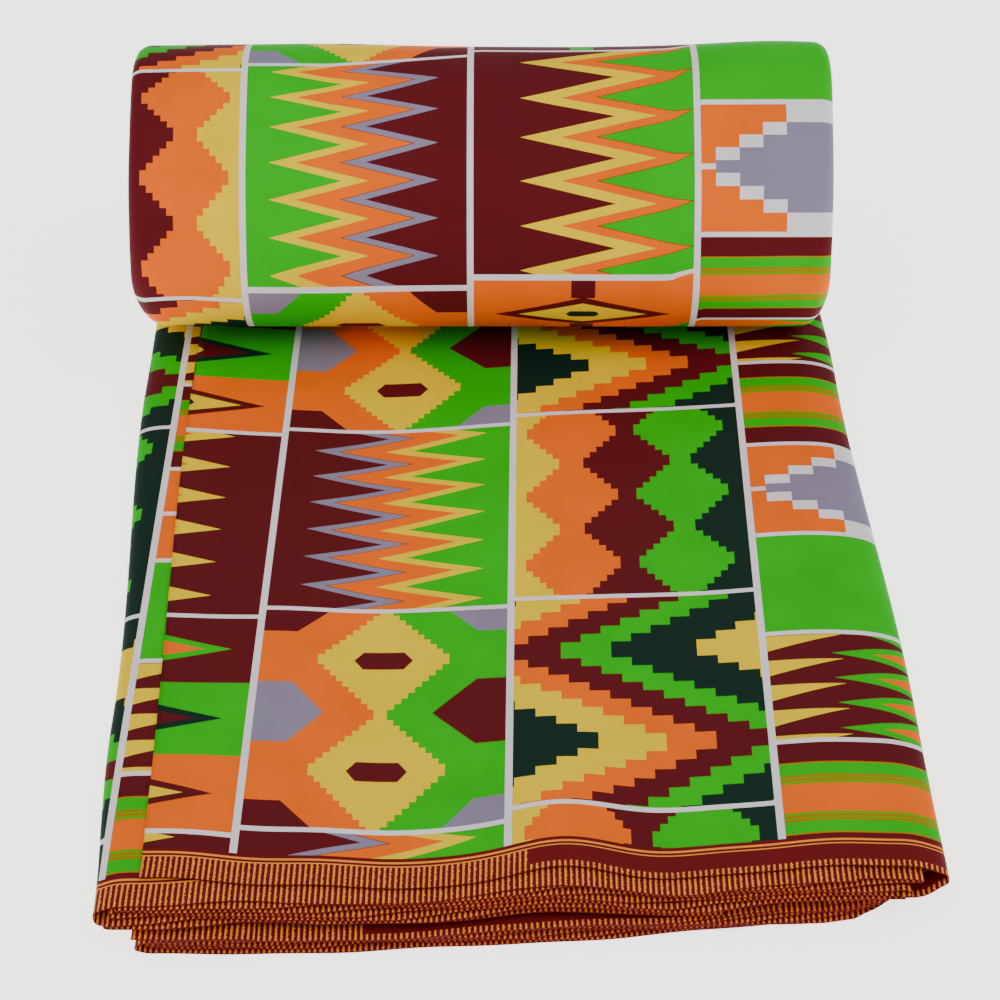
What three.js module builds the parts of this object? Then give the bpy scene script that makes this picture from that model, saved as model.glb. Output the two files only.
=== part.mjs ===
// A six-yard length of kente wax print cotton, folded to half-yard layers and laid down, with the far
// end of the stack curled up, over and under itself into a wide loose roll.
//
// Millimetres. +X runs along the front selvage, +Y from the front selvage to the back, +Z up. The origin
// is on the surface that the cloth lies on, under the middle of its box.
//
// Every piece is swept along one path, the outer face of the stack: flat along the ground, then up the
// back of the roll, over its top, down its slanting front and in under itself. A point of a piece is
// (s, x, n): s along the path, x across it, and n into the stack from its outer face, so n is the height
// above the ground on the flat stretch and points into the roll on the curled one.

import * as THREE from "three";

// ---- Driving sizes ----
const STACK = 30; // thickness of the folded stack
const WALL = 1.2; // thickness of a visible layer
const GAP = 0.5; // air between neighbouring layers
const SEAM = 0.3; // air where a layer goes on in its next piece
const LOWER_PACK = 11.4; // height of the lower pack, between the ground and the upper one
const FRONT_Y = -340; // the furthest forward corner of the lowest layer
const GROUND_END_Y = 266; // where the stack leaves the ground at the back
const CENTRE = { x: 0.5, y: 2.1 }; // middle of the box on the tables' axes, moved to the origin
const CURL_STEPS = 26; // stations along the curled stretch
const LOOSE = 1.35; // the curled stack is this many times as thick as the flat one
const ACROSS = [-170, -132, -94, -57, -19, 19, 57, 94, 132, 170]; // x of the points that every piece shares
const SHARED_FROM = 70; // from here on every piece has the same stations
const EDGE_LAYER = 1.5; // thickness of a separate layer at the front edge

// The outer face of the roll, seen from the right: up the back, over the top, down the slanting front,
// round under it, and in along the top of the flat stretch.
const CURL = [
  { y: 266, z: 0 },
  { y: 303, z: 11 },
  { y: 326, z: 37 },
  { y: 339, z: 73 },
  { y: 339, z: 107 },
  { y: 327, z: 139 },
  { y: 305, z: 165 },
  { y: 279, z: 185 },
  { y: 253, z: 197 },
  { y: 228, z: 198 },
  { y: 205, z: 187 },
  { y: 183, z: 172 },
  { y: 162, z: 154 },
  { y: 149, z: 136 },
  { y: 136, z: 115 },
  { y: 128, z: 93 },
  { y: 131, z: 72 },
  { y: 142, z: 54 },
  { y: 158, z: 41 },
  { y: 177, z: 33.5 },
  { y: 203, z: 34 },
  { y: 229, z: 41 },
  { y: 248, z: 56 },
  { y: 258, z: 78 },
];

// Where the left and right folds of the two packs stand, from the front edge to the end of the cloth.
const FOLD_LINES = [
  { s: 0, topLeft: -213, topRight: 240, baseLeft: -192, baseRight: 218 },
  { s: 150, topLeft: -220, topRight: 238, baseLeft: -202, baseRight: 218 },
  { s: 460, topLeft: -235, topRight: 225, baseLeft: -222, baseRight: 218 },
  { s: 620, topLeft: -237, topRight: 219, baseLeft: -232, baseRight: 219 },
  { s: 820, topLeft: -237, topRight: 215, baseLeft: -240, baseRight: 219 },
  { s: 1050, topLeft: -236, topRight: 213, baseLeft: -240, baseRight: 217 },
  { s: 1130, topLeft: -226, topRight: 207, baseLeft: -231, baseRight: 209 },
  { s: 1300, topLeft: -220, topRight: 202, baseLeft: -224, baseRight: 202 },
];

// Soft rises and troughs of the flat stretch, as the top layer shows them; layers below follow less.
const SWELLS = [
  { x: 190, y: -60, wide: 52, long: 420, rise: 6.5 },
  { x: 33, y: -300, wide: 36, long: 80, rise: 8 },
  { x: -75, y: -300, wide: 65, long: 90, rise: -4 },
  { x: 95, y: -300, wide: 30, long: 75, rise: -3 },
  { x: -128, y: -120, wide: 40, long: 260, rise: 3 },
];

// The layers that show one by one at the front, from the lowest up: n is the middle of the layer, left
// and right its front edge's y at x = -200 and x = 200, bow how far the edge's middle lies from a line
// between them, start and end where the layer lies across the stack.
const FRONT_LAYERS = [
  { name: "lower_edge_1", n: 3.2, left: -335, right: -312, corner: 12, start: -186, end: 203 },
  { name: "lower_edge_2", n: 6.2, left: -333, right: -317, corner: 12, start: -184, end: 206 },
  { name: "upper_edge_1", n: 17.2, left: -330, right: -316, bow: -7, start: -196, end: 217 },
  { name: "upper_edge_2", n: 20.4, left: -330, right: -314, bow: -4, start: -190, end: 224 },
  { name: "upper_edge_3", n: 23.6, left: -327, right: -311, bow: -3, start: -194, end: 226 },
];

// Front edges of the visible layers, as above. The top layer's sags forward of that in places, under is
// how far forward a fold's turned-back part comes, and corner how far back the right corner is rounded.
const TOP_FRONT = { left: -306, right: -301, sags: true, under: -9 };
const SECOND_FRONT = { left: -325, right: -312, under: -4 };
const FLAP_FRONT = { left: -336, right: -332 };
const BASE_FRONT = { left: -336, right: -309, bow: -7, corner: 12 };
const NO_SHIFT = { left: FRONT_Y, right: FRONT_Y };
const SAGS = [
  { x: -130, wide: 52, forward: 7 },
  { x: -28, wide: 46, forward: 9.5 },
  { x: 110, wide: 75, forward: 4.5 },
];
const CORNER = { from: 188, to: 224 }; // x of the lower pack's rounded right corner

// How many of the curl's stations each piece has: the outer layers have the longer way round, so they
// stop first.
const BASE_STEPS = 22;
const LOWER_STEPS = 23;
const UPPER_STEPS = 25;
const TOP_STEPS = 26;
const INNER_SPLIT = 12; // where the two innermost layers are split, at the top of the roll

// ---- The path ----
const lerp = THREE.MathUtils.lerp;
const curl = new THREE.CatmullRomCurve3(
  CURL.map((p) => new THREE.Vector3(0, p.y, p.z)),
  false,
  "centripetal",
);
curl.arcLengthDivisions = 800;
const FLAT = GROUND_END_Y - FRONT_Y;
const CURL_LENGTH = curl.getLength();

// A place on the path with its unit normal, which points into the stack.
function station(s) {
  if (s <= FLAT) return { s, y: FRONT_Y + s, z: 0, ny: 0, nz: 1 };
  const u = Math.min((s - FLAT) / CURL_LENGTH, 1);
  const p = curl.getPointAt(u);
  const t = curl.getTangentAt(u);
  const blend = Math.min((s - FLAT) / 20, 1);
  const n = new THREE.Vector2(-t.z * blend, lerp(1, t.y, blend)).normalize();
  return { s, y: p.y, z: p.z, ny: n.x, nz: n.y };
}

// The shared stations: close at the front edge, wide on the flat, even on the curl.
const FLAT_STATIONS = [0, 20, 44, SHARED_FROM, 120, 190, 280, 370, 460, 550].map(station);
const CURL_STATIONS = Array.from({ length: CURL_STEPS + 1 }, (_, i) =>
  station(FLAT + (i / CURL_STEPS) * CURL_LENGTH),
);
const stations = (steps) => [...FLAT_STATIONS, ...CURL_STATIONS.slice(0, steps + 1)];
const flatStations = stations(0);
const curlStations = (from, to) => [
  station(CURL_STATIONS[from].s + SEAM),
  ...CURL_STATIONS.slice(from + 1, to + 1),
];

// One named column of a table, read between its rows.
function between(rows, s, column) {
  const i = Math.max(1, rows.findIndex((r) => r.s >= s));
  const [a, b] = [rows[i - 1], rows[i]];
  return lerp(a[column], b[column], THREE.MathUtils.smoothstep(s, a.s, b.s));
}

// How far the stack swells at a place: nothing at its outer face, all of it near the top layers.
function swell(x, y, n) {
  const rise = SWELLS.reduce(
    (sum, w) => sum + w.rise * Math.exp(-(((x - w.x) / w.wide) ** 2) - ((y - w.y) / w.long) ** 2),
    0,
  );
  return rise * THREE.MathUtils.smoothstep(n, 2, STACK - 4);
}

// The layers lie loosely in the curl, and thin out towards its end, where the outer ones have stopped.
function looseness(s) {
  const { smoothstep } = THREE.MathUtils;
  const end = smoothstep(s, FLAT + 0.78 * CURL_LENGTH, FLAT + CURL_LENGTH);
  return lerp(1, LOOSE, smoothstep(s, FLAT - 40, FLAT + 150)) * (1 - 0.5 * end);
}

// (x, n) on a station as a point. A front edge that slants or steps shifts the first stations along.
function place(st, x, n, shift) {
  const flatness = 1 - THREE.MathUtils.smoothstep(st.s, FLAT - 120, FLAT);
  const depth = n * looseness(st.s) + swell(x, st.y + shift, n) * flatness;
  const y = st.y + shift + st.ny * depth;
  return new THREE.Vector3(x - CENTRE.x, y - CENTRE.y, st.z + st.nz * depth);
}

// A front edge's shift at (x, n), fading out evenly to where the shared stations start.
function frontShift(front, x, n, s) {
  const t = (x + 200) / 400;
  const folded = THREE.MathUtils.clamp((TOP_N - n) / (TOP_N - UNDER_N), 0, 1);
  const edge =
    lerp(front.left, front.right, t) +
    (front.bow ?? 0) * 4 * t * (1 - t) +
    (front.under ?? 0) * folded +
    (front.corner ?? 0) * THREE.MathUtils.smoothstep(x, CORNER.from, CORNER.to) -
    (front.sags ? SAGS.reduce((sum, w) => sum + w.forward * Math.exp(-(((x - w.x) / w.wide) ** 2)), 0) : 0);
  return (edge - FRONT_Y) * Math.max(1 - s / SHARED_FROM, 0);
}

// ---- Sections ----
// An arc of points in the (x, n) plane. Angles are in quarter turns, 0 towards +x and 1 towards +n.
function arc(x, n, rx, rn, from, to, steps) {
  return Array.from({ length: steps + 1 }, (_, i) => {
    const a = lerp(from, to, i / steps) * (Math.PI / 2);
    return [x + rx * Math.cos(a), n + rn * Math.sin(a)];
  });
}

// The shared points between x0 and x1, in that order, at the height that n gives for each.
function run(x0, x1, n) {
  const inside = ACROSS.filter((x) => x > Math.min(x0, x1) && x < Math.max(x0, x1));
  return (x0 < x1 ? inside : inside.toReversed()).map((x) => [x, n(x)]);
}

// A wall's outline from its middle line: one face out, the other face back.
function wallRing(line, thickness) {
  const side = (sign) =>
    line.map(([x, n], i) => {
      const [x0, n0] = line[Math.max(i - 1, 0)];
      const [x1, n1] = line[Math.min(i + 1, line.length - 1)];
      const length = Math.hypot(x1 - x0, n1 - n0);
      const half = (sign * thickness) / 2;
      return [x - ((n1 - n0) / length) * half, n + ((x1 - x0) / length) * half];
    });
  return [...side(-1), ...side(1).reverse()];
}

// ---- Solids ----
// A closed solid through the sections of its stations; section(st) gives the outline as [x, n] points.
function sweep(path, section, front) {
  const outlines = path.map(section);
  const count = outlines[0].length;
  const points = path.flatMap((st, i) =>
    outlines[i].map(([x, n]) => place(st, x, n, frontShift(front, x, n, st.s))),
  );
  const faces = [];
  for (let i = 0; i + 1 < path.length; i++) {
    for (let j = 0; j < count; j++) {
      const [a, b] = [i * count + j, i * count + ((j + 1) % count)];
      faces.push([a, a + count, b], [b, a + count, b + count]);
    }
  }
  // An end face is cut into triangles as it stands, swells included, in the plane of its station.
  const capOf = (i) => {
    const { ny, nz } = path[i];
    const ring = points.slice(i * count, (i + 1) * count);
    const flat = ring.map((p) => new THREE.Vector2(p.x, p.y * ny + p.z * nz));
    return THREE.ShapeUtils.triangulateShape(flat, []);
  };
  const last = path.length - 1;
  faces.push(...capOf(0));
  faces.push(...capOf(last).map((face) => face.map((k) => last * count + k).reverse()));
  const geometry = new THREE.BufferGeometry().setFromPoints(points);
  return facingOut(geometry.setIndex(faces.flat()));
}

// The same geometry with its faces turned so that they point out.
function facingOut(geometry) {
  const p = geometry.attributes.position;
  const index = Array.from(geometry.index.array);
  const corner = (i) => new THREE.Vector3().fromBufferAttribute(p, index[i]);
  let volume = 0;
  for (let i = 0; i < index.length; i += 3) volume += corner(i).dot(corner(i + 1).cross(corner(i + 2)));
  return volume > 0 ? geometry : geometry.setIndex(index.reverse());
}

// ---- Pieces ----
const TOP_N = STACK - WALL / 2; // middle of the top layer
const SECOND_N = TOP_N - WALL - GAP; // middle of the layer under it
const RETURN_N = LOWER_PACK - WALL / 2; // where the base layer comes back over the lower pack
const FLAP_N = RETURN_N + WALL + GAP; // the cloth's far end, between the packs
const UNDER_N = FLAP_N + WALL + GAP; // underside of the upper pack
const FOLDED_BACK = 100; // the folds' turned-back parts all lie further out than this

// The top layer: from its cut end near the left, across, and round the right fold of the upper pack.
function topSection(st) {
  const cut = lerp(-190, -203, THREE.MathUtils.smoothstep(st.s, 0, 460));
  const right = between(FOLD_LINES, st.s, "topRight");
  const middle = (TOP_N + UNDER_N) / 2;
  const radius = (TOP_N - UNDER_N) / 2;
  const line = [
    [cut, TOP_N],
    ...run(-180, 180, () => TOP_N),
    ...arc(right - 26, middle, 26, radius, 1, 0, 4),
    ...arc(right - 36, middle, 36, radius, 0, -1, 4).slice(1),
    [right - 62, UNDER_N],
  ];
  return wallRing(line, WALL);
}

// The layer under it, which shows beyond the cut end and turns round the left fold of the upper pack.
function secondSection(st) {
  const left = between(FOLD_LINES, st.s, "topLeft");
  const middle = (SECOND_N + UNDER_N) / 2;
  const radius = (SECOND_N - UNDER_N) / 2;
  const line = [
    [-132, SECOND_N],
    [-170, SECOND_N],
    ...arc(left + 20, middle, 20, radius, 1, 2, 3),
    ...arc(left + 14, middle, 14, radius, 2, 3, 3).slice(1),
    [left + 52, UNDER_N],
  ];
  return wallRing(line, WALL);
}

// The lowest layer: flat on the ground and, further along, the outer face of the whole roll.
function baseSection(st) {
  const left = between(FOLD_LINES, st.s, "baseLeft");
  const right = between(FOLD_LINES, st.s, "baseRight");
  const middle = LOWER_PACK / 2;
  const radius = RETURN_N - middle;
  const line = [
    [left + 46, RETURN_N],
    ...arc(left + 9, middle, 9 - WALL / 2, radius, 1, 3, 5),
    ...run(left + 9, right - 9, () => WALL / 2),
    ...arc(right - 9, middle, 9 - WALL / 2, radius, -1, 1, 5),
    [right - 46, RETURN_N],
  ];
  return wallRing(line, WALL);
}

// A pack's hidden layers as one body with round sides. low(x) and high(x) give its faces' heights.
function packSection(left, right, low, high) {
  const middle = (low(left) + high(left)) / 2;
  const radius = (high(left) - low(left)) / 2;
  const round = Math.min(radius * 1.5, 14);
  return [
    ...run(-180, 180, low),
    ...arc(right - round, middle, round, radius, -1, 1, 4),
    ...run(180, -180, high),
    ...arc(left + round, middle, round, radius, 1, 3, 4),
  ];
}

const UPPER_INSET = 4; // air between the upper pack's hidden layers and the folds round them

function upperSection(st) {
  const left = between(FOLD_LINES, st.s, "topLeft") + WALL + UPPER_INSET + 3;
  const right = between(FOLD_LINES, st.s, "topRight") - WALL - UPPER_INSET - 13;
  const low = (x) => (Math.abs(x) < FOLDED_BACK ? FLAP_N + WALL : UNDER_N + WALL / 2 + GAP);
  return packSection(left, right, low, () => SECOND_N - WALL / 2 - GAP);
}

function lowerSection(st) {
  const left = between(FOLD_LINES, st.s, "baseLeft") + WALL + GAP;
  const right = between(FOLD_LINES, st.s, "baseRight") - WALL - GAP;
  const high = (x) => (Math.abs(x) < FOLDED_BACK ? FLAP_N + WALL - 2 * GAP : RETURN_N - WALL / 2 - GAP);
  return packSection(left, right, () => WALL + GAP, high);
}

// A stretch of a layer in the roll.
const curled = (section, from, to) => sweep(curlStations(from, to), section, NO_SHIFT);

// A pack's hidden layers, from where the separate front edges end.
const packGeometry = (section, steps) => sweep(stations(steps).slice(3), section, NO_SHIFT);

// One of the layers that show at the front, back to where the pack's one body starts.
function edgeGeometry(layer) {
  const height = () => layer.n;
  const line = [[layer.start, layer.n], ...run(layer.start, layer.end, height), [layer.end, layer.n]];
  const path = [0, 20, 44, SHARED_FROM - GAP].map(station);
  return sweep(path, () => wallRing(line, EDGE_LAYER), layer);
}

// The far cut end of the cloth, a short flap that comes out between the packs at the front left.
function flapGeometry() {
  const section = () => wallRing([[-193, FLAP_N], ...run(-193, -128, () => FLAP_N), [-128, FLAP_N]], WALL);
  return sweep([0, 20, 44, SHARED_FROM].map(station), section, FLAP_FRONT);
}

// ---- The object ----
const CLOTH_COLOURS = {
  top: 0x2aa312,
  second: 0xf2a10c,
  base: 0x5c0a18,
  hidden: 0x8a1a1e,
  flap: 0xe0702a,
};

function piece(name, geometry, color) {
  geometry.computeVertexNormals();
  const material = new THREE.MeshStandardMaterial({ color, roughness: 0.75, metalness: 0 });
  const mesh = new THREE.Mesh(geometry, material);
  mesh.name = name;
  return mesh;
}

const folded = new THREE.Group();
folded.add(
  piece("top_layer", sweep(flatStations, topSection, TOP_FRONT), CLOTH_COLOURS.top),
  piece("second_layer", sweep(flatStations, secondSection, SECOND_FRONT), CLOTH_COLOURS.second),
  piece("upper_layers", packGeometry(upperSection, UPPER_STEPS), CLOTH_COLOURS.hidden),
  piece("lower_layers", packGeometry(lowerSection, LOWER_STEPS), CLOTH_COLOURS.hidden),
  piece("base_layer", sweep(flatStations, baseSection, BASE_FRONT), CLOTH_COLOURS.base),
  piece("roll_outer_layer", curled(baseSection, 0, BASE_STEPS), CLOTH_COLOURS.base),
  piece("roll_second_layer_1", curled(secondSection, 0, INNER_SPLIT), CLOTH_COLOURS.second),
  piece("roll_second_layer_2", curled(secondSection, INNER_SPLIT, TOP_STEPS), CLOTH_COLOURS.second),
  piece("roll_inner_layer_1", curled(topSection, 0, INNER_SPLIT), CLOTH_COLOURS.top),
  piece("roll_inner_layer_2", curled(topSection, INNER_SPLIT, TOP_STEPS), CLOTH_COLOURS.top),
  piece("end_flap", flapGeometry(), CLOTH_COLOURS.flap),
  ...FRONT_LAYERS.map((layer) => piece(layer.name, edgeGeometry(layer), CLOTH_COLOURS.hidden)),
);

export default folded;
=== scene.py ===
"""A six-yard length of kente wax print cotton, folded to half-yard layers and part rolled.

Every sheet of cloth follows one path, the outer face of the pile: flat along the ground, up the back of
the roll, over its top, down its slanting front and in under itself. Lengths are millimetres on that path
and metres in Blender. On the cloth itself, u runs along the selvages and v from the front selvage.
"""

import math

import bpy
import numpy as np
from mathutils import Euler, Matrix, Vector


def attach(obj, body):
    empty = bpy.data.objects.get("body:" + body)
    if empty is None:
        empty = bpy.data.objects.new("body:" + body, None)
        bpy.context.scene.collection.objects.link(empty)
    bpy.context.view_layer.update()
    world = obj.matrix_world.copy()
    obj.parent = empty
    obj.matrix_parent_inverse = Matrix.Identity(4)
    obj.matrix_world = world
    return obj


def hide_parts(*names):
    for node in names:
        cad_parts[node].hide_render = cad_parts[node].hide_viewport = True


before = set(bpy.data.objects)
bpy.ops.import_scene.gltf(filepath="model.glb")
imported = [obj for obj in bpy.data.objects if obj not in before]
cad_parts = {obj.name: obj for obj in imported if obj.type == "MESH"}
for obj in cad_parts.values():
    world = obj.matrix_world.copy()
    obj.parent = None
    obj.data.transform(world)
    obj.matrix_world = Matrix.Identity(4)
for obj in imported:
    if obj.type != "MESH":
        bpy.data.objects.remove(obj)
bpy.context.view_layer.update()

bl_info = {
    "name": "Folded wax print cloth",
    "version": (1, 0, 0),
    "blender": (4, 5, 0),
    "location": "3D View > Sidebar > Cloth",
    "description": "Makes a folded, part rolled length of kente wax print cotton",
    "category": "Add Mesh",
}

MM = 0.001

# ---- The pile's path and folds, as its solids have them ----
FRONT_Y = -340.0
GROUND_END_Y = 266.0  # where the pile lifts off into the roll
CENTRE_X, CENTRE_Y = 0.5, 2.1  # middle of the pile's box on the tables' axes, moved to the origin
STACK = 30.0  # thickness of the flat pile
LOOSE = 1.35  # how much thicker it is in the roll
LOOSE_FROM, LOOSE_TO = -40.0, 150.0  # s of that change, from where the pile lifts off
THIN_FROM, THIN_BY = 0.78, 0.5  # share of the curl from where it thins out, and by how much at its end
LIFT = 20.0  # length over which the path leaves the ground
SHARED_FROM = 70.0  # s behind which all front edges run alike
CLOTH_WIDTH = 1168.0  # from selvage to selvage

# y and z of the roll's outer face, from where it leaves the ground to the end inside the roll.
CURL = [
    (266, 0), (303, 11), (326, 37), (339, 73), (339, 107), (327, 139), (305, 165), (279, 185),
    (253, 197), (228, 198), (205, 187), (183, 172), (162, 154), (149, 136), (136, 115), (128, 93),
    (131, 72), (142, 54), (158, 41), (177, 33.5), (203, 34), (229, 41), (248, 56), (258, 78),
]  # fmt: skip

# Where the packs' folds stand along the path.
FOLD_S = [0, 150, 460, 620, 820, 1050, 1130, 1300]
FOLDS = {
    "top_left": [-213, -220, -235, -237, -237, -236, -226, -220],
    "top_right": [240, 238, 225, 219, 215, 213, 207, 202],
    "base_left": [-192, -202, -222, -232, -240, -240, -231, -224],
    "base_right": [218, 218, 218, 219, 219, 217, 209, 202],
}

# Soft rises and troughs of the flat stretch: middle, reach across and along, and height. They grow between
# two heights in the pile, and end before the roll.
SWELLS = [
    {"x": 190, "y": -60, "wide": 52, "long": 420, "rise": 6.5},
    {"x": 33, "y": -300, "wide": 36, "long": 80, "rise": 8},
    {"x": -75, "y": -300, "wide": 65, "long": 90, "rise": -4},
    {"x": 95, "y": -300, "wide": 30, "long": 75, "rise": -3},
    {"x": -128, "y": -120, "wide": 40, "long": 260, "rise": 3},
]
SWELL_LOW, SWELL_HIGH = 2.0, STACK - 4.0
SWELL_END = 120.0  # length over which they end

# Creases of the cloth itself: middle, reach across and along the path, and how far out of
# the pile they stand. The first rows lie on the roll, the others in the upper layers of the flat stretch.
ROLL_CREASES = [
    {"x": -160, "s": 905, "wide": 110, "long": 42, "rise": 4.0},
    {"x": 185, "s": 880, "wide": 60, "long": 50, "rise": 4.5},
    {"x": 196, "s": 1046, "wide": 22, "long": 20, "rise": -3.0},
    {"x": -205, "s": 1075, "wide": 30, "long": 34, "rise": -3.5},
    {"x": -60, "s": 1010, "wide": 42, "long": 50, "rise": -1.4},
    {"x": 96, "s": 965, "wide": 38, "long": 75, "rise": 1.6},
    {"x": 20, "s": 925, "wide": 60, "long": 30, "rise": -1.8},
    {"x": -110, "s": 780, "wide": 45, "long": 90, "rise": 2.2},
    {"x": 60, "s": 740, "wide": 55, "long": 70, "rise": -2.4},
    {"x": 150, "s": 700, "wide": 35, "long": 60, "rise": 1.8},
]
TOP_CREASES = [
    {"x": -20, "s": 330, "wide": 70, "long": 26, "rise": 0.9},
    {"x": 60, "s": 250, "wide": 80, "long": 22, "rise": -0.8},
    {"x": -60, "s": 150, "wide": 26, "long": 60, "rise": -1.0},
    {"x": 130, "s": 390, "wide": 30, "long": 70, "rise": 0.9},
    {"x": -150, "s": 300, "wide": 24, "long": 80, "rise": -0.9},
]
TOP_CREASES_LOW = 12.0  # height in the pile from where those show


def smoothstep(x, low, high):
    """0 up to low, 1 from high, eased between."""
    t = np.clip((np.asarray(x, float) - low) / (high - low), 0, 1)
    return t * t * (3 - 2 * t)


def hills(rows, x, height, along=None, axis=""):
    """Sum of a table's soft hills at x, or at x and a place along the table's other axis, y or s."""
    total = 0.0
    for row in rows:
        far = ((x - row["x"]) / row["wide"]) ** 2
        if axis:
            far = far + ((along - row[axis]) / row["long"]) ** 2
        total = total + row[height] * np.exp(-far)
    return total


def fold_at(s, column):
    """A fold's x at s, eased between the rows of its table."""
    rows = np.array(FOLDS[column], float)
    i = np.clip(np.searchsorted(FOLD_S, s), 1, len(FOLD_S) - 1)
    a, b = np.array(FOLD_S, float)[i - 1], np.array(FOLD_S, float)[i]
    t = np.clip((s - a) / (b - a), 0, 1)
    return rows[i - 1] + (rows[i] - rows[i - 1]) * t * t * (3 - 2 * t)


def mix(t, k0, k1, p0, p1):
    """p0 at t = k0 and p1 at t = k1, in a straight line."""
    return (k1 - t) / (k1 - k0) * p0 + (t - k0) / (k1 - k0) * p1


def through(points, per=60):
    """A centripetal Catmull-Rom curve through points, as many points close together."""
    p = np.array(points, float)
    p = np.vstack([2 * p[0] - p[1], p, 2 * p[-1] - p[-2]])
    out = []
    for i in range(1, len(p) - 2):
        q = p[i - 1 : i + 3]
        k = np.concatenate([[0], np.cumsum(np.sqrt(np.linalg.norm(np.diff(q, axis=0), axis=1)))])
        t = np.linspace(k[1], k[2], per, endpoint=False)[:, None]
        a = [mix(t, k[j], k[j + 1], q[j], q[j + 1]) for j in range(3)]
        b = [mix(t, k[j], k[j + 2], a[j], a[j + 1]) for j in range(2)]
        out.append(mix(t, k[1], k[2], b[0], b[1]))
    return np.vstack(out + [p[-2][None]])


CURL_POINTS = through(CURL)
CURL_S = np.concatenate([[0], np.cumsum(np.linalg.norm(np.diff(CURL_POINTS, axis=0), axis=1))])
FLAT = GROUND_END_Y - FRONT_Y
CURL_LENGTH = CURL_S[-1]
CURL_TURN = np.gradient(CURL_POINTS, CURL_S, axis=0)


def station(s):
    """The path at s: y, z, and the two parts of the normal that points into the pile."""
    c = np.clip(np.asarray(s, float) - FLAT, 0, CURL_LENGTH)
    y = np.where(s <= FLAT, FRONT_Y + s, np.interp(c, CURL_S, CURL_POINTS[:, 0]))
    z = np.where(s <= FLAT, 0.0, np.interp(c, CURL_S, CURL_POINTS[:, 1]))
    blend = np.clip(c / LIFT, 0, 1)
    ny = -np.interp(c, CURL_S, CURL_TURN[:, 1]) * blend
    nz = 1 + (np.interp(c, CURL_S, CURL_TURN[:, 0]) - 1) * blend
    size = np.hypot(ny, nz)
    return y, z, ny / size, nz / size


def looseness(s):
    """How much thicker than on the flat the pile is at s."""
    end = smoothstep(s, FLAT + THIN_FROM * CURL_LENGTH, FLAT + CURL_LENGTH)
    return (1 + (LOOSE - 1) * smoothstep(s, FLAT + LOOSE_FROM, FLAT + LOOSE_TO)) * (1 - THIN_BY * end)


def place(s, x, n, shift):
    """Points (s, x, n) in the object's frame, in millimetres."""
    y, z, ny, nz = station(s)
    flatness = 1 - smoothstep(s, FLAT - SWELL_END, FLAT)
    swell = hills(SWELLS, x, "rise", y + shift, "y") * smoothstep(n, SWELL_LOW, SWELL_HIGH)
    depth = n * looseness(s) + swell * flatness
    depth = depth + hills(TOP_CREASES, x, "rise", s, "s") * smoothstep(n, TOP_CREASES_LOW, STACK)
    depth = depth - hills(ROLL_CREASES, x, "rise", s, "s")
    return np.stack([x - CENTRE_X, y + shift + ny * depth - CENTRE_Y, z + nz * depth], axis=-1)


# ---- Sections ----
def quarter(x, n, rx, rn, start, end, steps=9):
    """An elliptical arc in the section's (x, n) plane, in quarter turns from +x towards +n."""
    a = np.linspace(start, end, steps) * math.pi / 2
    return [(x + rx * math.cos(t), n + rn * math.sin(t)) for t in a]


def run(a, b, count):
    """count points evenly from a, without b."""
    t = np.arange(count)[:, None] / count
    return [tuple(p) for p in np.array(a, float) * (1 - t) + np.array(b, float) * t]


# Heights in the pile: the top and second layers, their turned-back parts, the end flap, and the lowest
# layer over the lower pack and on the ground.
TOP_N, SECOND_N, UNDER_N = 29.4, 27.7, 14.2
FLAP_N, OVER_N, GROUND_N = 12.5, 10.8, 0.4
CUT_FRONT, CUT_BACK, CUT_TO = -190.0, -203.0, 460.0  # x of the top layer's cut end at s = 0 and s = CUT_TO
TOP_ROUND, UNDER_ROUND = 26.0, 36.0  # how far the upper and lower half of its right fold bulge


def top_section(s):
    """From the cut end, across, round the right fold and back under the upper pack."""
    cut = CUT_FRONT + (CUT_BACK - CUT_FRONT) * float(smoothstep(s, 0, CUT_TO))
    right = float(fold_at(s, "top_right"))
    middle, radius = (TOP_N + UNDER_N) / 2, (TOP_N - UNDER_N) / 2
    bend, end = (100, UNDER_N + 1.2), (-110, UNDER_N + 1.2)
    return (
        run((cut, TOP_N), (right - TOP_ROUND, TOP_N), 76)
        + quarter(right - TOP_ROUND, middle, TOP_ROUND, radius, 1, 0, 10)
        + quarter(right - UNDER_ROUND, middle, UNDER_ROUND, radius, 0, -1, 10)[1:]
        + run((right - UNDER_ROUND - 6, UNDER_N), bend, 8)
        + run(bend, end, 16)
        + [end]
    )


def second_section(s):
    """From under the top layer, out to the left fold, round it and back under the upper pack."""
    left = float(fold_at(s, "top_left"))
    middle, radius = (SECOND_N + UNDER_N) / 2, (SECOND_N - UNDER_N) / 2
    start, seen_from = (190, SECOND_N), (-120, SECOND_N)
    bend, end = (left + 52, UNDER_N), (120, UNDER_N - 0.6)
    return (
        run(start, seen_from, 26)
        + run(seen_from, (left + 20, SECOND_N), 18)
        + quarter(left + 20, middle, 20, radius, 1, 2, 10)
        + quarter(left + 14, middle, 14, radius, 2, 3, 10)[1:]
        + run((left + 15, UNDER_N), bend, 6)
        + run(bend, end, 18)
        + [end]
    )


def zigzag_section(levels, left, right, turn, across):
    """One cloth laid back and forth: levels from the top down, the first laid towards +x.

    turn is how far its folds bulge, and across how many points a level has.
    """
    line = []
    for i, n in enumerate(levels):
        inset = 3.0 * (i % 3)  # the folds don't stand in one line
        start, end = (left + turn + inset, right - turn - inset)[:: 1 if i % 2 == 0 else -1]
        line += run((start, n), (end, n), across)
        if i + 1 == len(levels):
            return line + [(end, n)]
        middle, radius = (n + levels[i + 1]) / 2, (n - levels[i + 1]) / 2
        angles = (1, -1) if i % 2 == 0 else (1, 3)
        line += quarter(end, middle, turn, radius, *angles, 9)


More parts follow.
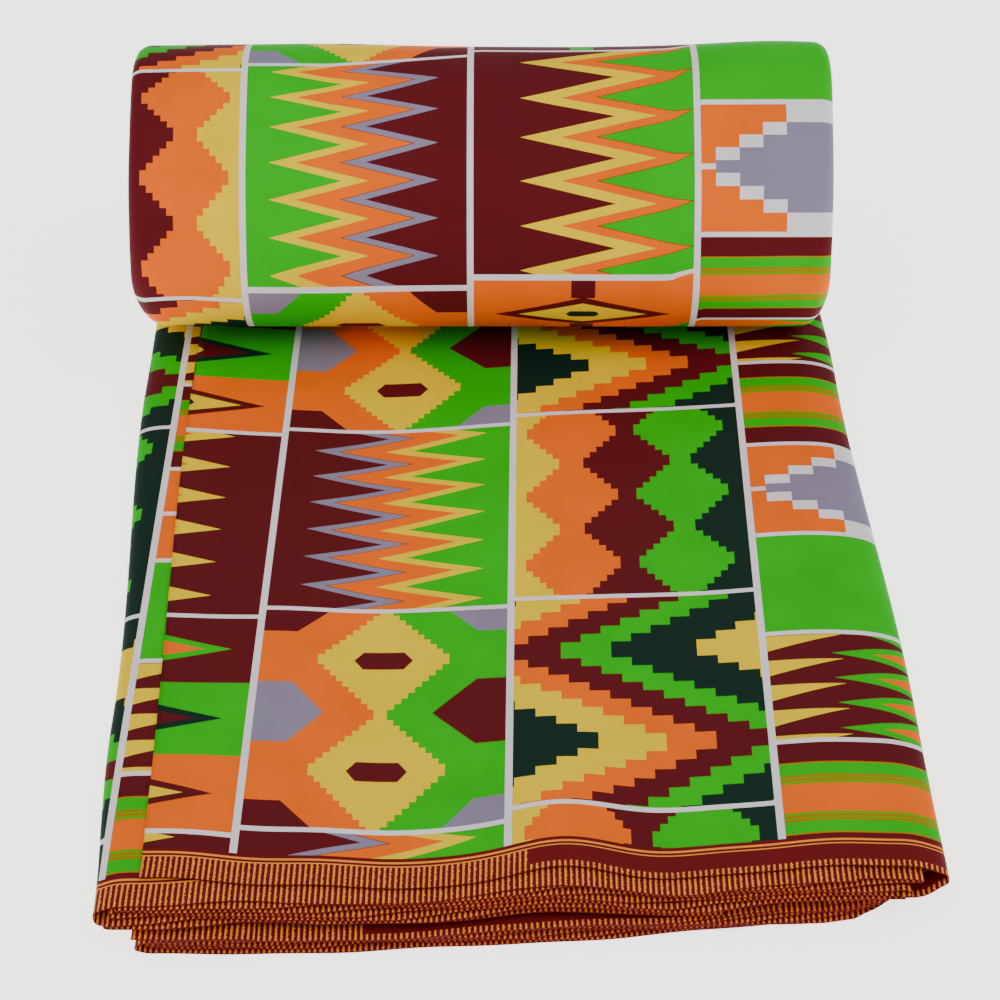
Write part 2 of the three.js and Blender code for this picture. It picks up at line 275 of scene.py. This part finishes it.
UPPER_LEVELS = (26.2, 24.1, 21.9, 19.6, 17.4)
LOWER_LEVELS = (8.9, 6.9, 4.7, 2.4)


def upper_section(s):
    """The upper pack's hidden layers."""
    left, right = float(fold_at(s, "top_left")) + 6, float(fold_at(s, "top_right")) - 15
    return zigzag_section(UPPER_LEVELS, left, right, turn=6, across=20)


def lower_section(s):
    """The lower pack's hidden layers."""
    left, right = float(fold_at(s, "base_left")) + 4, float(fold_at(s, "base_right")) - 6
    return zigzag_section(LOWER_LEVELS, left, right, turn=5, across=24)


def flap_section(s):
    """The cloth's other end, straight across."""
    start, end = (-193, FLAP_N), (-128, FLAP_N)
    return run(start, end, 18) + [end]


def base_section(s):
    """Over the lower pack, round its left fold, along the ground and up round its right fold."""
    left, right = float(fold_at(s, "base_left")), float(fold_at(s, "base_right"))
    middle, radius = (OVER_N + GROUND_N) / 2, (OVER_N - GROUND_N) / 2
    start, bend, end = (150, 9.9), (left + 40, OVER_N), (right - 44, 10.9)
    return (
        run(start, bend, 30)
        + run(bend, (left + 9, OVER_N), 4)
        + quarter(left + 9, middle, 8.6, radius, 1, 3, 13)
        + run((left + 9, GROUND_N), (right - 9, GROUND_N), 74)[1:]
        + quarter(right - 9, middle, 8.6, radius, -1, 1, 13)
        + run((right - 12, OVER_N), end, 5)
        + [end]
    )


# ---- Sheets ----
# v along the lowest layer, which is the roll's outer face, at a few s. The cloth was curled askew, so the
# print is off that by the rows of LAY_ON_ROLL, whose keys are x and whose columns are LAY_S.
V_ON_BASE = {"s": [0, 606, 853, 1113, 1260], "v": [-10, 596, 875, 1117, 1264]}
LAY_S = [606, 853, 900, 930, 951, 975, 1000, 1023, 1045, 1062, 1087, 1113, 1260]
LAY_ON_ROLL = {
    -110: [0, -44, -37, -20, -12.4, -8.6, -5, -2, 1.5, -2, -2, 0, 0],
    -10: [0, -22, -15, -12.3, -9, -6.5, -4, -1, 1.7, 0, 0, 0, 0],
    112: [0, -22, -15, -12.3, -9, -6.5, -4, -1, 1.7, 0, 0, 0, 0],
    132: [0, -10, -6, -4, -3, -2, -1, 0, 7, 15, 24, 26, 10],
}
# The top layer's print runs a little askew too, and its slack lies in a soft arc at the left.
TOP_SKEW = 0.0125
TOP_SLACK = [{"x": -95, "wide": 110, "slack": 16}]
TOP_SLACK_FROM = 380.0  # how much cloth lies in front of its full height
# Where the top layer's front edge sags forward, and how the lower pack's right corner is rounded.
SAGS = [
    {"x": -130, "wide": 52, "forward": 7},
    {"x": -28, "wide": 46, "forward": 9.5},
    {"x": 110, "wide": 75, "forward": 4.5},
]
CORNER = {"from": 188, "to": 224, "back": 12}
EVEN_BY = 200.0  # s by which the print no longer follows the front edge's line
CURL_STEPS = 26  # the curl in equal steps, by which a sheet's end is stated

# Each sheet: its section, the height n of the stretch where u = u_from + u_sign * x, the front edge's y at
# x = -200 and x = 200, how far its middle bows back, how far forward it comes with depth in the pile, its
# own ripple, the y of v = 0, and how many of the curl's steps it follows.
SHEETS = {
    "top_sheet": {
        "section": top_section, "known_n": TOP_N, "u_sign": 1, "u_from": 289,
        "left": -306, "right": -301, "bow": 0, "under": 9, "ripple": 1.0, "v_front": -306, "steps_end": 26,
    },
    "second_sheet": {
        "section": second_section, "known_n": SECOND_N, "u_sign": 1, "u_from": 652 + 2 * 588,
        "left": -325, "right": -312, "bow": 0, "under": 4, "ripple": 0.8, "v_front": -322, "steps_end": 26,
    },
    "upper_sheet": {
        "section": upper_section, "known_n": UPPER_LEVELS[0], "u_sign": 1, "u_from": 4 * 588 + 40,
        "left": -326, "right": -309, "bow": 0, "under": 8, "ripple": 1.3, "v_front": -322, "steps_end": 25,
    },
    "flap_sheet": {
        "section": flap_section, "known_n": FLAP_N, "u_sign": 1, "u_from": 8 * 588,
        "left": -336, "right": -332, "bow": 0, "under": 0, "ripple": 0.6, "v_front": -336, "steps_end": 0,
    },
    "lower_sheet": {
        "section": lower_section, "known_n": LOWER_LEVELS[0], "u_sign": 1, "u_from": 7 * 588 + 90,
        "left": -334, "right": -312, "bow": -5, "under": 0, "ripple": 1.2, "v_front": -330, "steps_end": 23,
    },
    "base_sheet": {
        "section": base_section, "known_n": GROUND_N, "u_sign": -1, "u_from": 128.7 + 5 * 588,
        "left": -336, "right": -309, "bow": -7, "under": 0, "ripple": 0.6, "v_front": -330, "steps_end": 22,
    },
}  # fmt: skip


def front_edge(row, x, n):
    """How far a sheet's front edge lies behind FRONT_Y."""
    t = (x + 200) / 400
    ripple = np.sin(x / 23 + row["u_from"] + n / 2) + 0.6 * np.sin(x / 11 + 2 * row["u_from"] + n)
    under = row["under"] * np.clip((TOP_N - n) / (TOP_N - UNDER_N), 0, 1)
    edge = row["left"] + (row["right"] - row["left"]) * t + row["bow"] * 4 * t * (1 - t) - under
    if row["section"] is top_section:
        edge = edge - hills(SAGS, x, "forward")
    elif row["section"] in (lower_section, base_section):
        edge = edge + CORNER["back"] * smoothstep(x, CORNER["from"], CORNER["to"])
    return edge + row["ripple"] * ripple - FRONT_Y


def along(row, step):
    """The stations of a sheet, closer together at its front edge and on the curl."""
    if row["steps_end"] == 0:
        return np.linspace(0, SHARED_FROM, int(SHARED_FROM / step * 1.5))
    front, end = 90, FLAT + CURL_LENGTH * row["steps_end"] / CURL_STEPS
    return np.concatenate(
        [
            np.linspace(0, front, int(front * 1.5 / step), endpoint=False),
            np.linspace(front, FLAT, int((FLAT - front) / step), endpoint=False),
            np.linspace(FLAT, end, int((end - FLAT) / step * 1.2)),
        ]
    )


def print_offset(row, s, x, reach):
    """How far the print is moved in u and v at s, where reach is the cloth in front of that place."""
    if row["section"] is base_section:
        here = [np.interp(s, LAY_S, offsets) for offsets in LAY_ON_ROLL.values()]
        return 0.0, np.interp(x, list(LAY_ON_ROLL), here)
    if row["section"] is top_section:
        return TOP_SKEW, min(reach / TOP_SLACK_FROM, 1) * hills(TOP_SLACK, x, "slack")
    return 0.0, 0.0


def sheet_grid(row, step):
    """A sheet's points, and the cloth's own u and v at each, on one grid."""
    points, cloth, reach, previous = [], [], 0.0, 0.0
    start = row["v_front"] - FRONT_Y
    for s in along(row, step):
        x, n = np.array(row["section"](s)).T
        t = np.concatenate([[0], np.cumsum(np.hypot(np.diff(x), np.diff(n)))])
        # u follows the cloth round its folds from where it is known.
        known = np.abs(n - row["known_n"]) < 0.05
        k = int(np.argmin(np.where(known, np.abs(x), 1e6)))
        ahead = np.sign(x[k + 1] - x[k]) if k + 1 < len(x) else np.sign(x[k] - x[k - 1])
        u = row["u_from"] + row["u_sign"] * (x[k] + ahead * (t - t[k]))
        edge = front_edge(row, x, n)
        shift = edge * max(1 - s / SHARED_FROM, 0)
        points.append(place(np.full_like(x, s), x, n, shift))
        reach += cloth_between(row, previous, s)
        previous = s
        on_base = row["section"] is base_section
        v = np.interp(s, V_ON_BASE["s"], V_ON_BASE["v"]) if on_base else reach - start
        v = v + shift - (edge - start) * (1 - float(smoothstep(s, 0, EVEN_BY)))
        skew, slack = print_offset(row, s, x, reach)
        cloth.append(np.stack([u - skew * v, v + slack], axis=-1))
    return np.array(points), np.array(cloth)


def cloth_between(row, a, b):
    """How much cloth lies between two stations, at the sheet's own depth in the pile."""
    s = np.array([a, b], float)
    y, z, ny, nz = station(s)
    depth = row["known_n"] * looseness(s)
    return float(np.hypot(np.diff(y + ny * depth), np.diff(z + nz * depth))[0])


def sheet_object(name, row, step, thickness):
    """A sheet as one mesh with its place on the cloth as UV, thickened evenly to both sides."""
    points, cloth = sheet_grid(row, step)
    rows, columns = points.shape[:2]
    mesh = bpy.data.meshes.new(name)
    i = np.arange((rows - 1) * (columns - 1))
    a = i // (columns - 1) * columns + i % (columns - 1)
    faces = np.stack([a, a + 1, a + columns + 1, a + columns], axis=1)
    mesh.from_pydata((points.reshape(-1, 3) * MM).tolist(), [], faces.tolist())
    layer = mesh.uv_layers.new(name="Cloth")
    layer.data.foreach_set("uv", (cloth.reshape(-1, 2)[faces.ravel()] * MM).ravel())
    mesh.polygons.foreach_set("use_smooth", [True] * len(faces))
    obj = bpy.data.objects.new(name, mesh)
    bpy.context.scene.collection.objects.link(obj)
    solid = obj.modifiers.new("Thickness", "SOLIDIFY")
    solid.thickness = thickness
    solid.offset = 0
    return obj


# ---- Materials ----
def linear(hex_colour):
    """An sRGB hex colour as linear RGBA."""
    parts = [int(hex_colour[i : i + 2], 16) / 255 for i in (0, 2, 4)]
    return tuple(c / 12.92 if c <= 0.04045 else ((c + 0.055) / 1.055) ** 2.4 for c in parts) + (1.0,)


def add(tree, kind, inputs=None, **settings):
    """A node of that kind with its settings, and its inputs set or linked."""
    node = tree.nodes.new(kind)
    for key, value in settings.items():
        setattr(node, key, value)
    for key, value in (inputs or {}).items():
        if isinstance(value, Signal):
            value = value.socket
        if isinstance(value, bpy.types.NodeSocket):
            tree.links.new(value, node.inputs[key])
        else:
            node.inputs[key].default_value = value
    return node


class Signal:
    """A number that varies over the cloth, with ordinary arithmetic."""

    def __init__(self, tree, socket):
        self.tree, self.socket = tree, socket

    def math(self, operation, *others):
        inputs = dict(enumerate((self, *others)))
        return Signal(self.tree, add(self.tree, "ShaderNodeMath", inputs, operation=operation).outputs[0])

    def __add__(self, other):
        return self.math("ADD", other)

    def __sub__(self, other):
        return self.math("SUBTRACT", other)

    def __rsub__(self, other):
        return (self * -1.0).math("ADD", other)

    def __mul__(self, other):
        return self.math("MULTIPLY", other)

    def __truediv__(self, other):
        return self.math("DIVIDE", other)

    def __lt__(self, other):
        return self.math("LESS_THAN", other)

    def __gt__(self, other):
        return self.math("GREATER_THAN", other)

    def __abs__(self):
        return self.math("ABSOLUTE")

    __radd__, __rmul__ = __add__, __mul__


def pick(mask, yes, no):
    """yes where mask is 1 and no where it is 0."""
    tree = mask.tree
    values = {0: mask, 2: no, 3: yes}
    return Signal(tree, add(tree, "ShaderNodeMix", values, data_type="FLOAT").outputs[0])


def bands(value, edges, colours):
    """The colour of the band that value falls in: colours[i] up to edges[i]."""
    result = float(colours[0])
    for edge, before, after in zip(edges, colours, colours[1:]):
        result = (value > edge).math("MULTIPLY_ADD", float(after - before), result)
    return result


(MAROON, ORANGE, YELLOW, GREEN, DARK_GREEN, GREY, WHITE, BROWN, OLIVE, GOLD, WINE, AMBER) = range(12)
COLOUR_NAMES = (
    "maroon", "orange", "yellow", "green", "dark_green", "grey",
    "white", "brown", "olive", "gold", "wine", "amber",
)  # fmt: skip

COLUMN = 147.0  # width of a column
REPEAT = 342.0  # the print's repeat from the selvage inwards
BAR, DIAMOND, QUARTER = 56.0, 85.0, 85.5  # length of a rhombus bar, of a diamond, and a quarter repeat
BARS_END, DIAMONDS_END, CHEVRONS_END = 168.0, 170.0, 168.0  # where a column's second block starts
SAW = 19.7  # pitch of the fourth column's teeth
STEP = 8.3  # height of its cross's steps
LINE, COLUMN_LINE = 1.7, 2.1  # half the width of the pale lines across and along the columns


def zigzag(v, pitch, tip):
    """1 at v = tip and 0 half a pitch on, for teeth that repeat along v."""
    return 1.0 - ((v - tip) * (2 / pitch)).math("PINGPONG", 1.0)


def stepped(wave, steps):
    """wave, from 0 to 1, in level steps."""
    return ((wave * (steps + 0.999)).math("FLOOR")) / float(steps)


def first_column(u, v):
    """Rhombus bars towards the selvage, then zigzags."""
    q = u - 0.42 * zigzag(v - BARS_END, 30.3, 18.3)
    teeth = bands(q, (0.012, 0.026, 0.18, 0.36), (GREEN, BROWN, ORANGE, YELLOW, MAROON))
    bar = v / BAR
    which = bar.math("FLOOR")
    across = abs(u - 0.5)
    off = abs(bar.math("FRACT") - 0.5) * BAR
    ground = bands(which, (0.5, 1.5), (ORANGE, GREEN, MAROON))
    outer = bands(which, (0.5, 1.5), (MAROON, DARK_GREEN, GREEN))
    inner = bands(which, (0.5, 1.5), (YELLOW, MAROON, ORANGE))
    core = bands(which, (0.5, 1.5), (DARK_GREEN, YELLOW, MAROON))
    post = bands(which, (0.5, 1.5), (MAROON, MAROON, GREEN))
    bars = pick((across < 0.053) * (off > 15.0), post, ground)
    bars = pick((across / 0.395 + off / 15.5) < 1.0, outer, bars)
    bars = pick((across / 0.285 + off / 10.5) < 1.0, inner, bars)
    bars = pick(((across / 0.075 + off / 12.0) < 1.0) * (off < 3.0), core, bars)
    return pick(v < BARS_END, bars, teeth)


def second_column(u, v):
    """Two stacked stepped diamonds towards the selvage, then zigzags."""
    q = u - 0.32 * zigzag(v - DIAMONDS_END, 26.0, 8.7)
    teeth = bands(q, (0.14, 0.24, 0.252, 0.445, 0.565), (MAROON, GREY, BROWN, ORANGE, YELLOW, GREEN))
    across = abs(u - 0.5) * COLUMN
    middle = abs(v - DIAMOND)
    off = abs((v / DIAMOND).math("FRACT") - 0.5) * DIAMOND
    ground = bands(u, (0.5,), (ORANGE, GREEN))
    left = ((u - 0.15) / 0.13).math("MAXIMUM", 0.0)
    right = ((0.87 - u) / 0.17).math("MAXIMUM", 0.0)
    corner = DIAMOND - middle
    ground = pick((middle / 23.0 + left) < 1.0, float(GREY), ground)
    ground = pick((corner / 20.0 + left) < 1.0, float(MAROON), ground)
    ground = pick((middle / 25.0 + right) < 1.0, float(MAROON), ground)
    ground = pick((corner / 20.0 + right * 1.35) < 1.0, float(GREY), ground)
    width = (10.0 - (off / 4.28).math("FLOOR")) * 3.8
    diamond = pick(across < width, float(YELLOW), ground)
    hexagon = ((across + off * 0.75) < 17.0) * (off < 6.9)
    diamond = pick(hexagon, float(MAROON), diamond)
    return pick(v < DIAMONDS_END, diamond, teeth)


def third_column(u, v):
    """Stepped chevrons towards the selvage, then chains of hourglasses."""
    chain = stepped(1.0 - zigzag(v - CHEVRONS_END, 62.6, 28.8), 5)
    links = bands(u - 0.14 * chain, (0.06,), (YELLOW, ORANGE))
    links = pick((u + 0.145 * chain) > 0.45, float(MAROON), links)
    links = pick((u - 0.15 * chain) > 0.53, float(GREEN), links)
    links = pick((u + 0.15 * chain) > 0.92, float(DARK_GREEN), links)
    wave = stepped(((v - 49.0) / 73.0).math("PINGPONG", 1.0), 10)
    q = u + 0.8 * wave
    colours = (DARK_GREEN, YELLOW, ORANGE, MAROON, GREEN, DARK_GREEN, YELLOW)
    chevrons = bands(q, (0.34, 0.60, 0.79, 1.0, 1.20, 1.54), colours)
    return pick(v < CHEVRONS_END, chevrons, links)


def fourth_column(u, v):
    """Teeth, plain green, a stepped cross and stripes, each a quarter of the repeat."""
    part = v / QUARTER
    which = part.math("FLOOR")
    w = part.math("FRACT")
    # Yellow saw teeth lie between green spikes, which have orange ones inside.
    saw = (((w * QUARTER - 4.5) / SAW).math("FRACT") - 0.35) * (0.31 / 0.65)
    teeth = pick((saw > 0.0) * (u < saw), float(YELLOW), float(MAROON))
    spike = 0.35 * (1.0 - zigzag(w * QUARTER, SAW, 9.0))
    teeth = pick((u - spike) > 0.265, float(GREEN), teeth)
    teeth = pick((u - spike) > 0.43, float(ORANGE), teeth)
    rise = abs(w - 0.5) * QUARTER
    level = ((rise + STEP / 2) / STEP).math("FLOOR").math("MINIMUM", 4.0)
    across = abs(u - 0.5) * COLUMN
    rim = pick(level > 0.5, across < 77.3 - 15.4 * level, rise < 1.8)
    cross = pick(rim, float(WHITE), float(ORANGE))
    cross = pick((across < 61.9 - 15.4 * level) * (level < 3.5), float(GREY), cross)
    stripes = bands(
        w,
        (0.2, 0.212, 0.31, 0.325, 0.345, 0.357, 0.385, 0.625, 0.655, 0.667, 0.687, 0.70, 0.80, 0.812),
        (MAROON, AMBER, GREEN, AMBER, OLIVE, AMBER, OLIVE, ORANGE)
        + (OLIVE, AMBER, OLIVE, AMBER, GREEN, AMBER, MAROON),
    )
    upper = pick(which > 2.5, stripes, cross)
    lower = pick(which > 0.5, float(GREEN), teeth)
    return pick(which > 1.5, upper, lower)


# v of each column's first line, and how far on its second is. The fourth has one at each quarter.
COLUMNS = (
    {"chart": first_column, "start": 33.0, "second": BARS_END},
    {"chart": second_column, "start": 39.0, "second": DIAMONDS_END},
    {"chart": third_column, "start": 47.0, "second": CHEVRONS_END},
    {"chart": fourth_column, "start": 91.0, "second": QUARTER},
)

SELVAGE = 21.0  # width of the selvage
TICK, TICK_SHARE, TICK_FROM = 3.0, 0.37, 0.3  # pitch of its ticks, how much of it they take, and their start
BLEED = 0.7  # how far the dye strays over the ticks' rims
TICK_LONG, TICK_SHORT = 15.0, 4.2  # how far the ticks reach in, and on the plain stretches
PLAIN_STRETCHES = ((305.0, 620.0), (3385.0, 3710.0))  # u of those


def selvage(u, v, grain):
    """Two gold lines and a comb of gold ticks, with plain stretches."""
    lines = bands(v, (15.0, 15.8, 17.3, 18.7), (WINE, GOLD, WINE, GOLD, WINE))
    # The dye bleeds over the ticks' rims here and there.
    tick = (((u / TICK).math("FRACT") + (grain - 0.5) * BLEED) < TICK_SHARE) * (v > TICK_FROM)
    first, second = ((u > low) * (u < high) for low, high in PLAIN_STRETCHES)
    reach = pick(first.math("MAXIMUM", second), TICK_SHORT, TICK_LONG)
    return pick(tick * (v < reach), float(GOLD), lines)


def print_index(u, v, grain):
    """Which of the print's colours lies at u and v, both in millimetres."""
    place_in = (u / (4 * COLUMN)).math("FRACT") * 4.0
    which = place_in.math("FLOOR")
    across = place_in - which
    result = None
    for number, column in enumerate(COLUMNS):
        w = (v - column["start"]).math("FLOORED_MODULO", REPEAT)
        colour = column["chart"](across, w)
        near = (w.math("MINIMUM", REPEAT - w)).math("MINIMUM", abs(w - column["second"]))
        if column["chart"] is fourth_column:
            part = (w / QUARTER).math("FRACT")
            near = part.math("MINIMUM", 1.0 - part) * QUARTER
        colour = pick(near < LINE, float(WHITE), colour)
        result = colour if result is None else pick(which > number - 0.5, colour, result)
    edge = across.math("MINIMUM", 1.0 - across) * COLUMN
    result = pick(edge < COLUMN_LINE, float(WHITE), result)
    rim = v.math("MINIMUM", CLOTH_WIDTH - v)
    return pick(rim < SELVAGE, selvage(u, rim, grain), result)


THREAD_PITCH = 0.7  # the threads lie 0.34 mm apart; they are drawn wider, so that they show


def wax_print_cotton(colours):
    """Plain-weave cotton, printed in vat and reactive dyes and calendered with a trace of wax.

    Its colours are flat and deep, with hard edges. The fine weave only breaks up the light a little, and
    the wax gives a low, broad sheen.
    """
    material = bpy.data.materials.new("calendered_wax_print")
    material.use_nodes = True
    tree = material.node_tree
    tree.nodes.clear()
    cloth = add(tree, "ShaderNodeUVMap", uv_map="Cloth")
    split = add(tree, "ShaderNodeSeparateXYZ", {0: cloth.outputs[0]})
    u = Signal(tree, split.outputs[0]) * (1 / MM)
    v = Signal(tree, split.outputs[1]) * (1 / MM)
    speckle = add(tree, "ShaderNodeTexNoise", {"Vector": cloth.outputs[0], "Scale": 900.0, "Detail": 1.0})
    index = print_index(u, v, Signal(tree, speckle.outputs[0]))
    count = len(COLOUR_NAMES)
    ramp = add(tree, "ShaderNodeValToRGB", {0: (index + 0.5) / float(count)})
    ramp.color_ramp.interpolation = "CONSTANT"
    stops = ramp.color_ramp.elements
    stops.remove(stops[1])
    for number, name in enumerate(COLOUR_NAMES):
        stop = stops.new(number / count) if number else stops[0]
        stop.color = (*getattr(colours, name), 1.0)
    # Dye takes up a little unevenly, in patches of a few centimetres.
    patch = add(tree, "ShaderNodeTexNoise", {"Vector": cloth.outputs[0], "Scale": 26.0, "Detail": 3.0})
    tone = add(tree, "ShaderNodeMapRange", {0: patch.outputs[0], 1: 0.3, 2: 0.7, 3: 0.94, 4: 1.05})
    dyed = add(tree, "ShaderNodeVectorMath", {0: ramp.outputs[0], 1: tone.outputs[0]}, operation="MULTIPLY")
    warp = (u * (2 * math.pi / THREAD_PITCH)).math("SINE")
    weft = (v * (2 * math.pi / THREAD_PITCH)).math("SINE")
    bump = add(tree, "ShaderNodeBump", {"Height": warp * weft, "Strength": 0.12, "Distance": 0.00006})
    shader = add(
        tree,
        "ShaderNodeBsdfPrincipled",
        {
            "Base Color": dyed.outputs[0],
            "Roughness": 0.62,
            "Specular IOR Level": 0.1,
            "Normal": bump.outputs[0],
        },
    )
    add(tree, "ShaderNodeOutputMaterial", {0: shader.outputs[0]})
    return material


def pale_floor(colour):
    """A light table of opal acrylic: matt white and lit from below, so shadows on it are pale."""
    material = bpy.data.materials.new("opal_acrylic_light_table")
    material.use_nodes = True
    tree = material.node_tree
    tree.nodes.clear()
    settings = {
        "Base Color": (*colour, 1.0),
        "Roughness": 0.9,
        "Emission Color": (1, 1, 1, 1),
        "Emission Strength": 2.2,
    }
    shader = add(tree, "ShaderNodeBsdfPrincipled", settings)
    add(tree, "ShaderNodeOutputMaterial", {0: shader.outputs[0]})
    return material


# ---- Settings ----
def colour_property(name, description, hex_colour):
    return bpy.props.FloatVectorProperty(
        name=name, description=description, subtype="COLOR", min=0, max=1, default=linear(hex_colour)[:3]
    )


class ClothSizes(bpy.types.PropertyGroup):
    grid: bpy.props.FloatProperty(
        name="Grid",
        description="Distance between a sheet's points along its length, in millimetres",
        default=4.5,
        min=2,
    )
    thickness: bpy.props.FloatProperty(
        name="Cloth thickness", description="Thickness of one layer", default=0.0005, unit="LENGTH"
    )


class ClothColours(bpy.types.PropertyGroup):
    maroon: colour_property("Maroon", "Dark red of the print's grounds", "5E0F18")
    orange: colour_property("Orange", "Orange of the print", "FA6A00")
    yellow: colour_property("Yellow", "Yellow of the print", "F6D000")
    green: colour_property("Green", "Bright green of the print", "12B804")
    dark_green: colour_property("Dark green", "Near-black green of the print", "0C2A20")
    grey: colour_property("Grey", "Lilac grey of the print", "8A8098")
    white: colour_property("White", "Undyed lines between the blocks", "F0E6EB")
    brown: colour_property("Brown", "Thin outlines where two dyes meet", "7A3B12")
    olive: colour_property("Olive", "Yellow green of the narrow stripes", "6FA00A")
    gold: colour_property("Gold", "Ticks and lines of the selvage", "FB9632")
    wine: colour_property("Wine", "Ground of the selvage", "6A0F14")
    amber: colour_property("Amber", "Fine lines in the stripes", "B4690A")
    floor: colour_property("Floor", "The table that the cloth lies on", "FFFFFF")


# ---- Operators ----
def cloth_material(scene):
    return bpy.data.materials.get("calendered_wax_print") or wax_print_cotton(scene.cloth_colours)


def make_sheet(scene, name, nodes):
    """One of SHEETS as an object, with its flat cut in metres, hiding the imported parts that it stands in
    for.
    """
    row = SHEETS[name]
    obj = sheet_object(name, row, scene.cloth_sizes.grid, scene.cloth_sizes.thickness)
    obj.data.materials.append(cloth_material(scene))
    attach(obj, "root")
    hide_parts(*nodes)


class CLOTH_OT_top(bpy.types.Operator):
    """Make the uppermost layer and its right fold"""

    bl_idname = "cloth.top_sheet"
    bl_label = "Top layer"

    def execute(self, context):
        nodes = ["top_layer", "roll_inner_layer_1", "roll_inner_layer_2"]
        make_sheet(context.scene, "top_sheet", nodes)
        return {"FINISHED"}


class CLOTH_OT_second(bpy.types.Operator):
    """Make the layer that shows along the left, with its fold"""

    bl_idname = "cloth.second_sheet"
    bl_label = "Second layer"

    def execute(self, context):
        nodes = ["second_layer", "roll_second_layer_1", "roll_second_layer_2"]
        make_sheet(context.scene, "second_sheet", nodes)
        return {"FINISHED"}


class CLOTH_OT_upper(bpy.types.Operator):
    """Make the hidden layers of the upper pack"""

    bl_idname = "cloth.upper_sheet"
    bl_label = "Upper layers"

    def execute(self, context):
        nodes = ["upper_layers", "upper_edge_1", "upper_edge_2", "upper_edge_3"]
        make_sheet(context.scene, "upper_sheet", nodes)
        return {"FINISHED"}


class CLOTH_OT_lower(bpy.types.Operator):
    """Make the hidden layers of the lower pack and the cloth's other end"""

    bl_idname = "cloth.lower_sheets"
    bl_label = "Lower layers"

    def execute(self, context):
        scene = context.scene
        nodes = ["lower_layers", "lower_edge_1", "lower_edge_2"]
        make_sheet(scene, "lower_sheet", nodes)
        make_sheet(scene, "flap_sheet", ["end_flap"])
        return {"FINISHED"}


class CLOTH_OT_base(bpy.types.Operator):
    """Make the lowest layer, which is also the roll's outer face"""

    bl_idname = "cloth.base_sheet"
    bl_label = "Lowest layer"

    def execute(self, context):
        nodes = ["base_layer", "roll_outer_layer"]
        make_sheet(context.scene, "base_sheet", nodes)
        return {"FINISHED"}


LAMPS = (
    {"name": "key", "at": (-0.9, -0.9, 2.2), "size": 1.8, "power": 21.0},
    {"name": "fill", "at": (1.3, -0.6, 1.9), "size": 1.8, "power": 14.0},
    {"name": "back", "at": (0.1, 1.6, 1.9), "size": 1.6, "power": 9.0},
)
FLOOR_HALF = 8  # half the floor's side
AIR_LIGHT = 0.5  # strength of the even white light from all round
CAMERA = {"at": (0.0005, -1.1041, 0.999), "down": 41.5, "lens": 84.17, "sensor": 36.0, "near": 0.05}


class CLOTH_OT_stage(bpy.types.Operator):
    """Make the floor, the soft lights and the camera"""

    bl_idname = "cloth.stage"
    bl_label = "Stage"

    def execute(self, context):
        scene = context.scene
        mesh = bpy.data.meshes.new("studio_floor")
        a = FLOOR_HALF
        mesh.from_pydata([(-a, -a, 0), (a, -a, 0), (a, a, 0), (-a, a, 0)], [], [(0, 1, 2, 3)])
        floor = bpy.data.objects.new("studio_floor", mesh)
        scene.collection.objects.link(floor)
        mesh.materials.append(pale_floor(scene.cloth_colours.floor))
        for lamp in LAMPS:
            light = bpy.data.lights.new(lamp["name"], "AREA")
            light.energy, light.size = lamp["power"], lamp["size"]
            obj = bpy.data.objects.new(lamp["name"], light)
            obj.location = lamp["at"]
            obj.rotation_euler = (-Vector(lamp["at"])).to_track_quat("-Z", "Y").to_euler()
            scene.collection.objects.link(obj)
        world = bpy.data.worlds.new("studio_air")
        scene.world = world
        world.use_nodes = True
        background = world.node_tree.nodes["Background"]
        background.inputs[0].default_value = (1, 1, 1, 1)
        background.inputs[1].default_value = AIR_LIGHT
        camera = bpy.data.objects.new("camera", bpy.data.cameras.new("camera"))
        camera.data.lens, camera.data.sensor_width = CAMERA["lens"], CAMERA["sensor"]
        camera.data.clip_start = CAMERA["near"]
        camera.location = CAMERA["at"]
        camera.rotation_euler = Euler((math.radians(90 - CAMERA["down"]), 0, 0))
        scene.collection.objects.link(camera)
        scene.camera = camera
        return {"FINISHED"}


class CLOTH_PT_panel(bpy.types.Panel):
    """Lists the cloth's sizes, colours and pieces"""

    bl_idname = "CLOTH_PT_panel"
    bl_label = "Folded wax print cloth"
    bl_space_type = "VIEW_3D"
    bl_region_type = "UI"
    bl_category = "Cloth"

    def draw(self, context):
        for group in (context.scene.cloth_sizes, context.scene.cloth_colours):
            for name in group.__annotations__:
                self.layout.prop(group, name)
        for operator in OPERATORS:
            self.layout.operator(operator.bl_idname)


OPERATORS = (CLOTH_OT_stage, CLOTH_OT_base, CLOTH_OT_lower, CLOTH_OT_upper, CLOTH_OT_second, CLOTH_OT_top)
CLASSES = (ClothSizes, ClothColours, *OPERATORS, CLOTH_PT_panel)


def register():
    for cls in CLASSES:
        bpy.utils.register_class(cls)
    bpy.types.Scene.cloth_sizes = bpy.props.PointerProperty(type=ClothSizes)
    bpy.types.Scene.cloth_colours = bpy.props.PointerProperty(type=ClothColours)


def unregister():
    del bpy.types.Scene.cloth_colours
    del bpy.types.Scene.cloth_sizes
    for cls in reversed(CLASSES):
        bpy.utils.unregister_class(cls)


def main():
    register()
    bpy.ops.cloth.stage()
    bpy.ops.cloth.base_sheet()
    bpy.ops.cloth.lower_sheets()
    bpy.ops.cloth.upper_sheet()
    bpy.ops.cloth.second_sheet()
    bpy.ops.cloth.top_sheet()
    bpy.context.view_layer.update()


if __name__ == "__main__":
    main()
